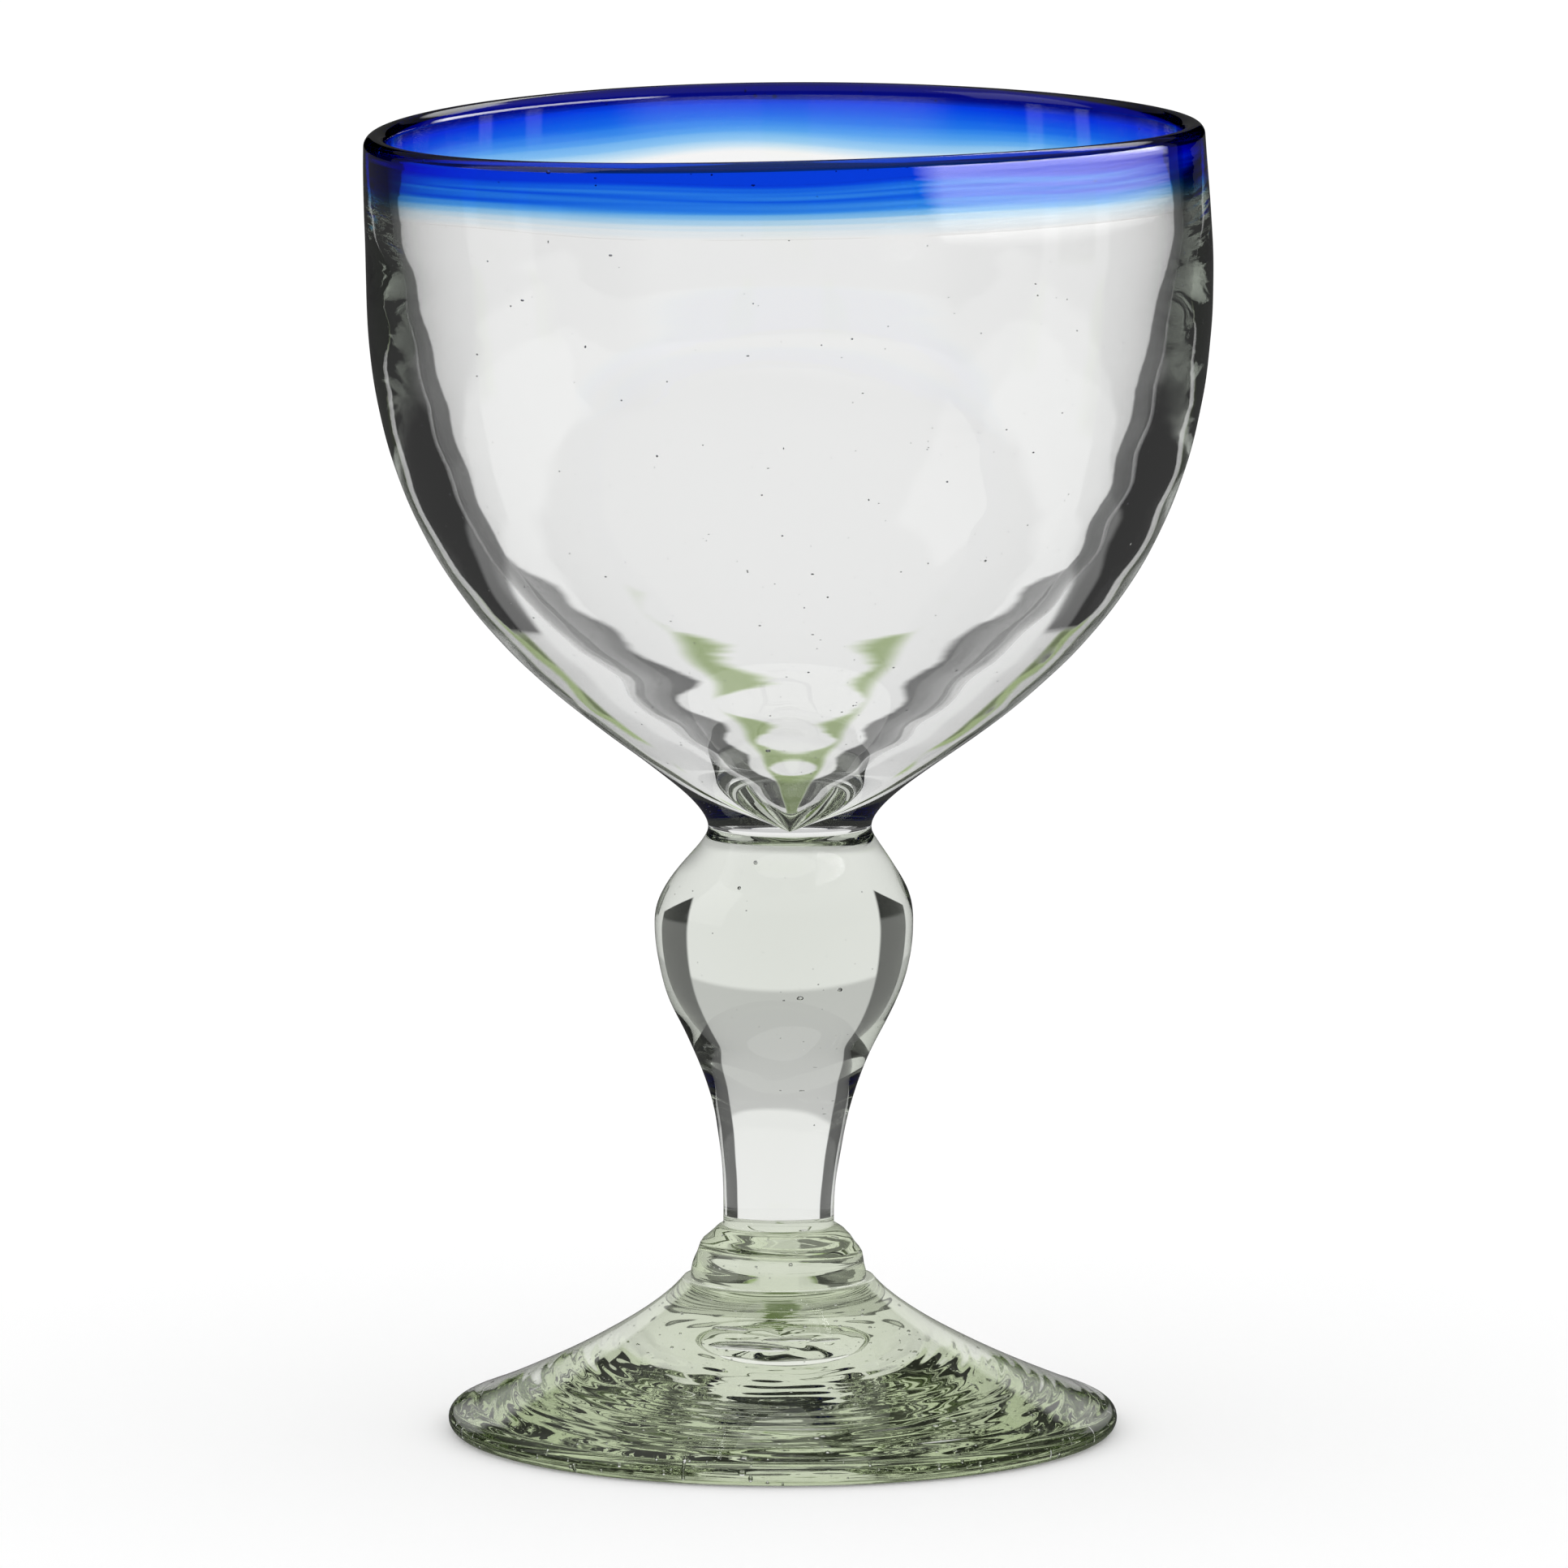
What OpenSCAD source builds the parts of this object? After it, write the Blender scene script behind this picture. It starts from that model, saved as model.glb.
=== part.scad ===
// Stemmed goblet of thick hand-blown glass with a coloured lip.
// Five gathers of glass are joined hot on one axis: foot, collar, stem, bowl and lip wrap.
// Millimetres, +Z up. Z = 0 is the flat ring that the foot stands on, and the origin is on the axis.

/* [Foot] */
// Radius of the foot at its edge
foot_r = 43.6; // [36:0.1:60]
// Height of the foot, from the table to the collar
foot_h = 20; // [14:0.5:32]
// Thickness of the rounded edge
foot_edge = 3.2; // [2:0.1:5]
// Radius of the foot's top, under the collar
foot_top_r = 12.4; // [9:0.1:16]
// Slope of the cone where it leaves the edge, in degrees
foot_edge_slope = 20; // [10:1:30]
// Slope of the cone where it meets the collar, in degrees
foot_top_slope = 52; // [35:1:65]
// Length of the nearly straight stretch at each end of the cone
cone_straight = 7.8; // [4:0.1:10]
// Width of the flat ring that touches the table
foot_ring_w = 3.4; // [1:0.1:6]
// Height of the hollow underside
hollow_h = 7; // [3:0.5:9]
// Slope of the hollow where it leaves the ring, in degrees
hollow_slope = 19; // [8:1:35]
// Length of the nearly straight stretch at each end of the hollow
hollow_straight = 9.8; // [4:0.1:12]
// Radius of the pontil mark in the middle of the hollow
pontil_r = 8.5; // [4:0.5:11]
// Depth of the pontil mark
pontil_d = 1.6; // [0.5:0.1:3]

/* [Collar] */
// Radius of the collar where it sits on the foot
collar_r = 11.4; // [9:0.1:15]
// Height of the collar
collar_h = 7; // [4:0.1:12]
// How far the collar's side stays upright before it turns in
collar_side = 4.5; // [1:0.1:6]
// Width of the flat shoulder at the collar's top
collar_shoulder = 0.7; // [0.2:0.1:2]

/* [Stem] */
// Height of the stem, from the collar to the bowl
stem_h = 52.2; // [45:0.1:90]
// Radius of the slender lower end
stem_r = 7.2; // [5:0.1:9]
// Radius of the knop, the stem's bulge
knop_r = 16.8; // [12:0.1:22]
// Distance from the knop's widest ring up to the bowl
knop_drop = 12.3; // [9:0.1:18]
// Length of the nearly straight stretch above the collar
stem_straight = 24.8; // [8:0.1:28]
// Fullness of the knop below its widest ring
knop_low = 14.3; // [4:0.1:18]
// Fullness of the knop above its widest ring
knop_high = 6.4; // [2:0.1:8]
// Radius of the neck, where the bowl is joined on
neck_r = 10.6; // [8:0.1:12]
// Height of the neck's turn below the joint
neck_low = 3; // [1:0.1:4]

/* [Bowl] */
// Height of the bowl with its lip, above the stem
bowl_h = 90.8; // [80:0.1:130]
// Radius of the bowl at its widest
belly_r = 54.7; // [48:0.1:70]
// Distance from the widest ring up to the lip's top
belly_drop = 19.1; // [14:0.1:30]
// Fullness of the bowl's side below its widest ring
belly_low = 32; // [16:0.5:38]
// Radius of the ring half way up the underside
under_r = 28.6; // [22:0.1:34]
// Height of that ring above the joint with the stem
under_h = 15.9; // [11:0.1:20]
// Slope of the underside at that ring, in degrees
under_slope = 39.6; // [30:0.1:48]
// Length of the nearly straight underside outside that ring
under_out = 14.4; // [6:0.1:18]
// Length of the nearly straight underside inside that ring
under_in = 9.9; // [4:0.1:12]
// Height of the neck's turn above the joint
neck_high = 3.8; // [1:0.1:5]
// Thickness of the wall at the belly
wall = 4; // [2.5:0.1:6]
// Thickness of the wall half way up the underside, where the gather stays thick
under_wall = 6; // [3:0.1:8]
// Height of the inside's pointed bottom above the joint with the stem
point_h = 0.8; // [0.4:0.1:3]
// Slope of the pointed bottom on the axis, in degrees
point_slope = 60; // [35:1:70]
// Length of the pointed bottom's steep end
point_len = 7; // [2:0.5:9]
// Length of the straight inside slope above the pointed bottom
funnel_len = 12; // [4:0.5:14]

/* [Lip] */
// How far the mouth draws in from the widest ring, at the lip
rim_draw = 0.4; // [-6:0.1:9]
// Thickness of the rounded lip
lip_t = 3; // [2:0.1:5]
// Height of the lip wrap on the outside of the bowl
wrap_out = 9.6; // [5:0.1:13]
// Height of the lip wrap on the inside of the bowl
wrap_in = 2.6; // [2:0.1:9]

/* [Hidden] */
$fn = 180;
// Straight pieces in each curve and in each rounded edge
curve_steps = 12;
edge_steps = 8;

// Heights of the joints and of the widest rings, stacked up from the table
collar_z = foot_h;
stem_z = collar_z + collar_h;
neck_z = stem_z + stem_h;
knop_z = neck_z - knop_drop;
rim_z = neck_z + bowl_h;
belly_z = rim_z - belly_drop;
lip_z = rim_z - lip_t / 2;

// Radius of the mouth, measured outside at the lip
rim_r = belly_r - rim_draw;

// A direction in the section plane, by its slope
function along(slope) = [cos(slope), sin(slope)];

// A smooth curve from a to d that leaves towards b and arrives from c. It leaves out its first point
function curve(a, b, c, d) =
    [for (i = [1 : curve_steps]) let (t = i / curve_steps, s = 1 - t)
        s * s * s * a + 3 * s * s * t * b + 3 * s * t * t * c + t * t * t * d];

// An arc about a centre, with both its ends
function arc(centre, r, from, to) =
    [for (i = [0 : edge_steps]) centre + r * along(from + (to - from) * i / edge_steps)];

// A list without its first point
function rest(list) = [for (i = [1 : len(list) - 1]) list[i]];

// The foot's section: rounded edge, concave cone, hollow underside and pontil mark
edge_r = foot_edge / 2;
edge_centre = [foot_r - edge_r, edge_r];
cone_start = edge_centre + edge_r * along(90 - foot_edge_slope);
cone_end = [foot_top_r, foot_h];
ring_in = foot_r - edge_r - foot_ring_w;
pontil_z = hollow_h + pontil_d;

function foot_section() = concat(
    arc(edge_centre, edge_r, -90, 90 - foot_edge_slope),
    curve(cone_start, cone_start - cone_straight * along(-foot_edge_slope),
        cone_end + cone_straight * along(-foot_top_slope), cone_end),
    [[0, foot_h], [0, pontil_z]],
    curve([0, pontil_z], [pontil_r / 2, pontil_z],
        [pontil_r, pontil_z - pontil_d / 2], [pontil_r, hollow_h]),
    curve([pontil_r, hollow_h], [pontil_r + hollow_straight, hollow_h],
        [ring_in, 0] - hollow_straight * along(-hollow_slope), [ring_in, 0]));

// The collar's section: upright side that turns in to a narrow shoulder under the stem
collar_low = [collar_r, collar_z];
collar_top = [stem_r, stem_z];

function collar_section() = concat(
    [[0, collar_z], collar_low],
    curve(collar_low, collar_low + [0, collar_side], collar_top + [collar_shoulder, 0], collar_top),
    [[0, stem_z]]);

// The stem's section: slender end, knop and neck, each with an upright tangent
stem_low = [stem_r, stem_z];
knop = [knop_r, knop_z];
neck = [neck_r, neck_z];

function stem_section() = concat(
    [[0, stem_z], stem_low],
    curve(stem_low, stem_low + [0, stem_straight], knop - [0, knop_low], knop),
    curve(knop, knop + [0, knop_high], neck - [0, neck_low], neck),
    [[0, neck_z]]);

// The bowl's outside and inside: the inside ring lies square to the outside ring, one underside wall in
under = [under_r, neck_z + under_h];
under_dir = along(under_slope);
inside = under + under_wall * along(under_slope + 90);
belly = [belly_r, belly_z];
inside_belly = [belly_r - wall, belly_z];
point = [0, neck_z + point_h];

// Radius of the upper side outside and inside, from the belly to the lip
function side(z) = (z - belly_z) / (lip_z - belly_z);
function side_out(z) = belly_r - (belly_r - rim_r) * pow(side(z), 2);
function side_in(z) = side_out(z) - lip_t - (wall - lip_t) * pow(1 - side(z), 2);
function level(from, to) = [for (i = [1 : edge_steps]) from + (to - from) * i / edge_steps];

// How fast the wall thickens downward as it passes the belly
wall_draw = 2 * (wall - lip_t) / (lip_z - belly_z);

// The scarf where the lip wrap lies on the bowl, from the outside edge to the inside edge
scarf_out_z = rim_z - wrap_out;
scarf_in_z = rim_z - wrap_in;
scarf_out = [side_out(scarf_out_z), scarf_out_z];
scarf_in = [side_in(scarf_in_z), scarf_in_z];

function bowl_section() = concat(
    [[0, neck_z], neck],
    curve(neck, neck + [0, neck_high], under - under_in * under_dir, under),
    curve(under, under + under_out * under_dir, belly - [0, belly_low], belly),
    [for (z = level(belly_z, scarf_out_z)) [side_out(z), z]],
    [scarf_in],
    [for (z = level(scarf_in_z, belly_z)) [side_in(z), z]],
    curve(inside_belly, inside_belly - belly_low * [wall_draw, 1], inside + under_out * under_dir, inside),
    curve(inside, inside - funnel_len * under_dir, point + point_len * along(point_slope), point));

// The lip wrap's section: outside, round lip, inside and the scarf that closes it
function lip_section() = concat(
    [scarf_out],
    [for (z = level(scarf_out_z, lip_z)) [side_out(z), z]],
    rest(arc([rim_r - lip_t / 2, lip_z], lip_t / 2, 0, 180)),
    [for (z = level(lip_z, scarf_in_z)) [side_in(z), z]]);

module turned(section) {
    rotate_extrude() polygon(section);
}

module foot() {
    color([0.66, 0.74, 0.56]) turned(foot_section());
}

module collar() {
    color([0.76, 0.82, 0.68]) turned(collar_section());
}

module stem() {
    color([0.88, 0.90, 0.87]) turned(stem_section());
}

module bowl() {
    color([0.92, 0.93, 0.93]) turned(bowl_section());
}

module lip_wrap() {
    color([0.05, 0.12, 0.62]) turned(lip_section());
}

foot();
collar();
stem();
bowl();
lip_wrap();
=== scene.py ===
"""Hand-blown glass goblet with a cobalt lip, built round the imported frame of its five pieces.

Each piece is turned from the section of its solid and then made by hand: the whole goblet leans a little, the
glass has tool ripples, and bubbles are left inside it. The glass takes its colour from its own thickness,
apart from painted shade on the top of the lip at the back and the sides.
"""
import math

import bmesh
import bpy
import numpy as np
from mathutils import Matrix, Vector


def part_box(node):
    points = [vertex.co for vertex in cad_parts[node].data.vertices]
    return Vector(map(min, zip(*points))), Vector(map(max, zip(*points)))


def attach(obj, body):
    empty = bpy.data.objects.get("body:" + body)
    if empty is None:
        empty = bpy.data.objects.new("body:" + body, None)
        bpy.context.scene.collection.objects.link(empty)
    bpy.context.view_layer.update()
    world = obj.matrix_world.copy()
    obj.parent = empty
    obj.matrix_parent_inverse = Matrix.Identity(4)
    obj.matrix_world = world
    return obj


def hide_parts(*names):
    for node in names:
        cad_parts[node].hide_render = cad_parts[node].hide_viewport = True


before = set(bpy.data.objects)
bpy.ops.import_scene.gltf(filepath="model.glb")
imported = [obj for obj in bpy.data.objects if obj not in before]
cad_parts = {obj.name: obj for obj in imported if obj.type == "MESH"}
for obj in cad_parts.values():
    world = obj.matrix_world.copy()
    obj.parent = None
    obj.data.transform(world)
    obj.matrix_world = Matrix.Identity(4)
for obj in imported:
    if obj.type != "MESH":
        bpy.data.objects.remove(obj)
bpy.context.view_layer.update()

bl_info = {
    "name": "Blown Goblet",
    "version": (1, 0, 0),
    "blender": (4, 5, 0),
    "location": "View3D > Sidebar > Goblet",
    "description": "Makes a hand-blown goblet of clear, green and cobalt glass on a white studio stage",
    "category": "Add Mesh",
}

MM = 0.001
ROOT = "root"


def widest(node):
    """The greatest radius of a CAD node about the axis."""
    low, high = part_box(node)
    return max(high.x, high.y, -low.x, -low.y)


def bottom(node):
    """The height of a CAD node's lowest point."""
    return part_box(node)[0].z


def top(node):
    """The height of a CAD node's highest point."""
    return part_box(node)[1].z


# Properties that a user would change

def length(name, description, millimetres):
    """A size of the goblet, written in millimetres and kept in metres."""
    return distance(name, description, millimetres * MM)


def distance(name, description, metres):
    """A size in metres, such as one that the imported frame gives."""
    return bpy.props.FloatProperty(name=name, description=description, default=metres, unit="LENGTH",
                                   precision=5)


def slope(name, description, degrees):
    """An angle of the section, written in degrees."""
    return bpy.props.FloatProperty(name=name, description=description, default=math.radians(degrees),
                                   subtype="ANGLE")


def colour(name, description, rgb):
    """A linear colour."""
    return bpy.props.FloatVectorProperty(name=name, description=description, default=rgb, size=3,
                                         subtype="COLOR", min=0, max=1)


def number(name, description, value):
    """A plain number."""
    return bpy.props.FloatProperty(name=name, description=description, default=value)


class GobletSizes(bpy.types.PropertyGroup):
    """Sizes of the five glass pieces."""

    foot_r: distance("Foot radius", "Radius of the foot at its edge", widest("foot"))
    collar_z: distance("Collar height", "Height of the joint of foot and collar", bottom("collar"))
    foot_edge: length("Foot edge", "Thickness of the foot's rounded edge", 3.2)
    foot_top_r: length("Foot top", "Radius of the foot's top, under the collar", 12.4)
    foot_edge_slope: slope("Edge slope", "Slope of the cone where it leaves the edge", 20)
    foot_top_slope: slope("Top slope", "Slope of the cone where it meets the collar", 52)
    cone_straight: length("Cone ends", "Nearly straight stretch at each end of the cone", 7.8)
    foot_ring_w: length("Standing ring", "Width of the flat ring that touches the table", 3.4)
    hollow_h: length("Hollow", "Height of the hollow underside", 4.2)
    hollow_slope: slope("Hollow slope", "Slope of the hollow where it leaves the ring", 10)
    hollow_straight: length("Hollow ends", "Nearly straight stretch at each end of the hollow", 9.8)
    pontil_r: length("Pontil mark", "Radius of the pontil mark", 8.5)
    pontil_d: length("Pontil depth", "Depth of the pontil mark", 1.6)

    collar_r: distance("Collar radius", "Radius of the collar on the foot", widest("collar"))
    stem_z: distance("Stem foot", "Height of the joint of collar and stem", bottom("stem"))
    collar_side: length("Collar side", "How far the collar's side stays upright", 4.5)
    collar_shoulder: length("Collar shoulder", "Width of the shoulder at the collar's top", 0.7)

    knop_r: distance("Knop radius", "Radius of the stem's bulge", widest("stem"))
    neck_z: distance("Neck height", "Height of the joint of stem and bowl", bottom("bowl"))
    stem_r: length("Stem radius", "Radius of the slender lower end", 7.2)
    knop_drop: length("Knop drop", "Distance from the knop's widest ring up to the bowl", 12.3)
    stem_straight: length("Stem straight", "Nearly straight stretch above the collar", 24.8)
    knop_low: length("Knop low", "Fullness of the knop below its widest ring", 14.3)
    knop_high: length("Knop high", "Fullness of the knop above its widest ring", 6.4)
    neck_r: length("Neck radius", "Radius of the neck, where the bowl is joined on", 10.6)
    neck_low: length("Neck low", "Height of the neck's turn below the joint", 3)

    belly_r: distance("Belly radius", "Radius of the bowl at its widest", widest("bowl"))
    rim_z: distance("Rim height", "Height of the lip", top("lip_wrap"))
    belly_drop: length("Belly drop", "Distance from the widest ring up to the lip", 19.1)
    belly_low: length("Belly low", "Fullness of the bowl's side below its widest ring", 32)
    under_r: length("Underside ring", "Radius of the ring half way up the underside", 28.6)
    under_h: length("Underside height", "Height of that ring above the joint", 15.9)
    under_slope: slope("Underside slope", "Slope of the underside at that ring", 39.6)
    under_out: length("Underside outer", "Straight underside outside that ring", 14.4)
    under_in: length("Underside inner", "Straight underside inside that ring", 9.9)
    neck_high: length("Neck high", "Height of the neck's turn above the joint", 3.8)
    wall: length("Wall", "Thickness of the bowl's wall at the belly", 4.0)
    under_wall: length("Underside wall", "Thickness of the wall half way up the underside", 6.0)
    point_h: length("Point height", "Height of the inside's pointed bottom above the joint", 0.8)
    point_slope: slope("Point slope", "Slope of the pointed bottom on the axis", 60)
    point_len: length("Point length", "Length of the pointed bottom's steep end", 7)
    funnel_len: length("Funnel", "Straight inside slope above the pointed bottom", 12)

    rim_r: length("Rim radius", "Outside radius of the mouth", 54.3)
    lip_t: length("Lip", "Thickness of the rounded lip", 3.0)
    wrap_out: length("Wrap outside", "Height of the cobalt wrap on the outside", 9.6)
    wrap_in: length("Wrap inside", "Height of the cobalt wrap on the inside", 2.6)
    weld_gap: length("Weld gap", "Gap between two pieces at a joint, too thin to see", 0.01)


class GobletGlass(bpy.types.PropertyGroup):
    """Colours of the glass: a pass is what is left of white light, and a depth is how fast it is taken."""

    bend: number("Refraction", "Index of refraction of the glass", 1.5)
    clear_pass: colour("Clear pass", "Light that the clear bowl lets pass", (0.40, 0.48, 0.36))
    clear_depth: number("Clear depth", "Absorption of the bowl per metre", 5.0)
    stem_pass: colour("Stem pass", "Light that the stem lets pass", (0.18, 0.28, 0.06))
    stem_depth: number("Stem depth", "Absorption of the stem per metre", 9.5)
    green_pass: colour("Green pass", "Light that the foot and collar let pass", (0.5, 0.62, 0.26))
    green_depth: number("Green depth", "Absorption of the foot per metre", 15.0)
    cobalt_pass: colour("Cobalt pass", "Light that the cobalt wrap lets pass", (0.0, 0.6, 0.975))
    cobalt_depth: number("Cobalt depth", "Absorption of the cobalt wrap per metre", 2400.0)
    # Painted shade: the colour that darkens the top of the lip at the back and the sides
    back_shade_pass: colour("Back shade pass", "Light that each face of the wrap's overlap lets pass",
                         (0.02, 0.015, 0.22))


class GobletStage(bpy.types.PropertyGroup):
    """The camera and the studio round the goblet."""

    camera_back: distance("Camera distance", "Distance of the camera from the axis", 2.015)
    camera_up: distance("Camera height", "Height of the camera over the table", 0.3655)
    camera_dip: slope("Camera dip", "How far the camera looks down", 7.933)
    lens: number("Lens", "Focal length of the camera in millimetres", 360.2)
    table_r: distance("Table radius", "Radius of the white table", 3.0)
    card_r: distance("Card distance", "Distance of the cards that only some pieces show", 1.5)


GROUPS = {"goblet_sizes": GobletSizes, "goblet_glass": GobletGlass, "goblet_stage": GobletStage}


# Sections: rows of points (radius, height), each row either one point or one point per angle

TURNS = 256
ANGLES = np.arange(TURNS) * (2 * math.pi / TURNS)
ROW_STEP = 0.6 * MM


def along(angle):
    """A direction in the section plane, by its slope."""
    return np.array([math.cos(angle), math.sin(angle)])


def point(radius, height):
    """A point of the section, or a ring of points where a size changes with the angle."""
    return np.stack(np.broadcast_arrays(np.asarray(radius, float), np.asarray(height, float)), axis=-1)


def curve(a, b, c, d, step=ROW_STEP):
    """Points of a curve from a to d that leaves towards b and arrives from c, without its first point."""
    a, b, c, d = np.broadcast_arrays(a, b, c, d)
    reach = np.linalg.norm(b - a, axis=-1) + np.linalg.norm(c - b, axis=-1) + np.linalg.norm(d - c, axis=-1)
    steps = max(4, int(np.max(reach) / step))
    return [(1 - t) ** 3 * a + 3 * (1 - t) ** 2 * t * b + 3 * (1 - t) * t ** 2 * c + t ** 3 * d
            for t in np.arange(1, steps + 1) / steps]


def line(a, d):
    """Points of a straight stretch, without its first point."""
    a, d = np.broadcast_arrays(a, d)
    steps = max(2, int(np.max(np.linalg.norm(d - a, axis=-1)) / ROW_STEP))
    return [a + (d - a) * t for t in np.arange(1, steps + 1) / steps]


def arc(centre, radius, start, end, steps=12):
    """Points of an arc about a centre, without its first point."""
    return [centre + radius * along(start + (end - start) * t) for t in np.arange(1, steps + 1) / steps]


class Section:
    """The outline of one piece, walked with the glass on the left, and which stretches are joints."""

    def __init__(self, start):
        self.rows = [start]
        self.weld = []

    def add(self, rows, weld=False):
        self.rows += rows
        self.weld += [weld] * len(rows)

    def grid(self):
        """All points as one array of rows by angles."""
        return np.stack([np.broadcast_to(row, (TURNS, 2)) for row in self.rows])


# Irregularities of hand-made glass

def smooth(low, high, value):
    """A soft step from 0 at low to 1 at high."""
    t = np.clip((value - low) / (high - low), 0, 1)
    return t * t * (3 - 2 * t)


class Waves:
    """A sum of waves round and along a piece, the same each time for the same seed."""

    def __init__(self, seed, count, round_max, lengths, power=1.0):
        rng = np.random.default_rng(seed)
        self.round = rng.integers(0, round_max + 1, count)
        self.along = 2 * math.pi / np.exp(rng.uniform(np.log(lengths[0]), np.log(lengths[1]), count))
        self.along *= rng.choice([-1, 1], count)
        self.phase = rng.uniform(0, 2 * math.pi, count)
        self.size = (1 + self.round) ** -power * rng.uniform(0.5, 1, count)
        self.size /= np.sqrt((self.size ** 2).sum() / 2)

    def __call__(self, angle, distance):
        total = 0
        for turns, rate, phase, size in zip(self.round, self.along, self.phase, self.size):
            total = total + size * np.cos(turns * angle + rate * distance + phase)
        return total


# How far the axis of the goblet wanders to the right, at heights from the table up
LEAN_HEIGHTS = np.array([0, 20, 27, 45, 67, 79, 95, 150, 171]) * MM
LEAN_RIGHT = np.array([-0.15, -0.7, -0.7, -0.25, 0.0, 0.75, 1.25, 0.75, 0.0]) * MM
# How the lip departs from a level ring: its rise, its tilt to the right and the saddle's two parts
RIM_UP, RIM_TILT, RIM_SADDLE, RIM_TWIST = 0.6 * MM, 0.85 * MM, -0.5 * MM, -0.25 * MM
# How far below the lip the saddle begins
SADDLE_REACH = 40 * MM


def lean(height):
    """The axis's shift to the right at a height, along a smooth curve."""
    knots, values = LEAN_HEIGHTS, LEAN_RIGHT
    place = np.clip(np.searchsorted(knots, height) - 1, 0, len(knots) - 2)
    share = smooth(0, 1, (height - knots[place]) / (knots[place + 1] - knots[place]))
    return values[place] + (values[place + 1] - values[place]) * share


def hand_made(x, y, z, sizes):
    """Moves points of the true goblet to where the blown one has them."""
    turn = np.arctan2(y, x)
    reach = np.hypot(x, y) / sizes.rim_r
    tilt = smooth(sizes.neck_z, sizes.rim_z, z) * RIM_TILT * np.cos(turn)
    high = smooth(sizes.rim_z - SADDLE_REACH, sizes.rim_z, z)
    saddle = high * (RIM_UP + RIM_SADDLE * np.cos(2 * turn) + RIM_TWIST * np.sin(2 * turn))
    return np.stack([x + lean(z), y, z + reach * (tilt + saddle)], axis=-1)


# Meshes

def normals_of(grid, closed):
    """Outward normals of a section grid."""
    if closed:
        tangent = np.roll(grid, -1, axis=0) - np.roll(grid, 1, axis=0)
    else:
        tangent = np.gradient(grid, axis=0)
    tangent /= np.maximum(np.linalg.norm(tangent, axis=-1, keepdims=True), 1e-12)
    return np.stack([tangent[..., 1], -tangent[..., 0]], axis=-1)


# Rings and spokes of a small and a large bubble, and the radius from which a bubble is large
SMALL_BUBBLE, LARGE_BUBBLE, LARGE_FROM = (5, 8), (9, 14), 0.3 * MM
# How strongly small bubbles outnumber large ones, and how far bubbles are drawn out
SMALL_OFTEN, DRAWN_OUT = 2.2, (1, 2.2)


def ball(centre, radius, stretch, turn):
    """Points and inward faces of one bubble, drawn out level along the wall."""
    rings, spokes = SMALL_BUBBLE if radius < LARGE_FROM else LARGE_BUBBLE
    points = [centre + np.array([0, 0, radius])]
    sideways = np.array([-math.sin(turn), math.cos(turn), 0])
    outward = np.array([math.cos(turn), math.sin(turn), 0])
    for i in range(1, rings):
        polar = math.pi * i / rings
        for j in range(spokes):
            spin = 2 * math.pi * j / spokes
            flat = radius * math.sin(polar)
            level = flat * math.cos(spin) * stretch * sideways + flat * math.sin(spin) * outward
            points.append(centre + level + np.array([0, 0, radius * math.cos(polar)]))
    points.append(centre - np.array([0, 0, radius]))
    faces = [(0, 1 + j, 1 + (j + 1) % spokes) for j in range(spokes)]
    for i in range(rings - 2):
        low, high = 1 + i * spokes, 1 + (i + 1) * spokes
        for j in range(spokes):
            k = (j + 1) % spokes
            faces.append((low + j, high + j, high + k, low + k))
    last = len(points) - 1
    faces += [(last, last - spokes + (j + 1) % spokes, last - spokes + j) for j in range(spokes)]
    return points, faces


def turned_piece(name, section, sizes, ripple, bubbles, closed=False):
    """A closed mesh turned from a section, with ripples along its normals and bubbles inside."""
    grid = section.grid()
    normal = normals_of(grid, closed)
    steps = np.linalg.norm(np.diff(grid, axis=0), axis=-1).max(axis=1)
    reach = np.concatenate([[0], np.cumsum(steps)])
    flags = np.array(section.weld + [False] * (len(grid) - len(section.weld)))
    push = ripple(grid, reach[:, None], ANGLES[None, :])
    grid = grid + normal * push[..., None]
    radius, height = grid[..., 0], grid[..., 1]
    places = hand_made(radius * np.cos(ANGLES), radius * np.sin(ANGLES), height, sizes)

    points, rings, faces, weld = [], [], [], []
    for row in range(len(grid)):
        start = len(points)
        if np.max(np.abs(section.rows[row][..., 0])) < 1e-9:
            rings.append([start] * TURNS)
            points.append(places[row, 0])
        else:
            rings.append(list(range(start, start + TURNS)))
            points += list(places[row])
    pairs = [(i, i + 1) for i in range(len(grid) - 1)] + ([(len(grid) - 1, 0)] if closed else [])
    for low, high in pairs:
        for j in range(TURNS):
            k = (j + 1) % TURNS
            corners = [rings[low][j], rings[low][k], rings[high][k], rings[high][j]]
            # A ring on the axis is one point, so its faces have three corners
            faces.append(list(dict.fromkeys(corners)))
            weld.append(float(flags[low]))
    for centre_at, size, stretch in bubbles(grid, normal):
        spot = hand_made(*centre_at, sizes)
        more, shells = ball(spot, size, stretch, math.atan2(centre_at[1], centre_at[0]))
        faces += [[len(points) + v for v in shell] for shell in shells]
        weld += [0.0] * len(shells)
        points += more

    mesh = bpy.data.meshes.new(name)
    mesh.from_pydata([tuple(p) for p in points], [], faces)
    mesh.attributes.new("weld", "FLOAT", "FACE").data.foreach_set("value", weld)
    mesh.shade_smooth()
    mark = bmesh.new()
    mark.from_mesh(mesh)
    layer = mark.faces.layers.float["weld"]
    for edge in mark.edges:
        sides = {face[layer] for face in edge.link_faces}
        edge.smooth = len(sides) < 2
    mark.to_mesh(mesh)
    mark.free()
    if mesh.validate():
        raise RuntimeError(name + " has bad faces")
    piece = bpy.data.objects.new(name, mesh)
    bpy.context.scene.collection.objects.link(piece)
    return piece


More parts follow.
